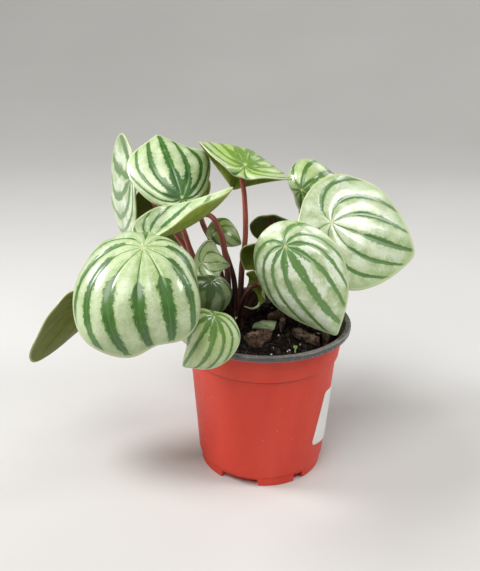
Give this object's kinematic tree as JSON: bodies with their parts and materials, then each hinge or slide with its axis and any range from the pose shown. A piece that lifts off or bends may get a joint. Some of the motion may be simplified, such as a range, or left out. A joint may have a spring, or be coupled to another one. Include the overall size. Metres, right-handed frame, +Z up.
{
  "type": "potted peperomia",
  "caption": "Watermelon peperomia with striped shield-shaped leaves on long red stalks, in a round tapered nursery pot with a black rim.",
  "frame": {"origin": "on the table, at the middle of the pot's foot", "axes": "+Z up out of the pot, -Y towards the plant's front, +X to its right seen from the front"},
  "size_m": [0.2393, 0.1669, 0.2009],
  "materials": {
    "pot_red": "moulded terracotta-red plastic, satin",
    "rim_black": "moulded black plastic, worn satin",
    "soil": "damp dark potting mix with crumbs, bark and white perlite",
    "label": "blank white sticker, smooth",
    "stalk": "fleshy red-brown stalk, satin",
    "leaf": "fleshy silver-green blade with dark green bands along its veins, waxy satin",
    "young_leaf": "thin young yellow-green blade, satin",
    "bark": "rough dry bark",
    "cut_leaf": "cut piece of green leaf, dull",
    "sprout": "pale green seedling, satin"
  },
  "bodies": {
    "root": {"pot": "pot_red", "rim": "rim_black", "soil": "soil", "label": "label", "stalks": "stalk", "leaf_front_left": "leaf", "leaf_upper_left": "leaf", "leaf_far_left": "leaf", "leaf_folded": "leaf", "leaf_top": "leaf", "leaf_low_left": "leaf", "leaf_over_rim": "leaf", "leaf_low_front": "leaf", "leaf_small_front": "leaf", "leaf_small_middle": "leaf", "leaf_young_upper": "young_leaf", "leaf_front_right": "leaf", "leaf_young_lower": "young_leaf", "leaf_right": "leaf", "leaf_back_right": "leaf", "leaf_behind_left": "leaf", "leaf_back_middle": "leaf", "leaf_back_left": "leaf", "leaf_rear_right": "leaf", "leaf_rear_middle": "leaf", "leaf_rear_left": "leaf", "bark_chip_front": "bark", "bark_chip_back": "bark", "bark_chip_middle": "bark", "bark_chip_right": "bark", "bark_chip_edge": "bark", "cut_leaf_piece": "cut_leaf", "sprout": "sprout"}
  },
  "joints": []
}
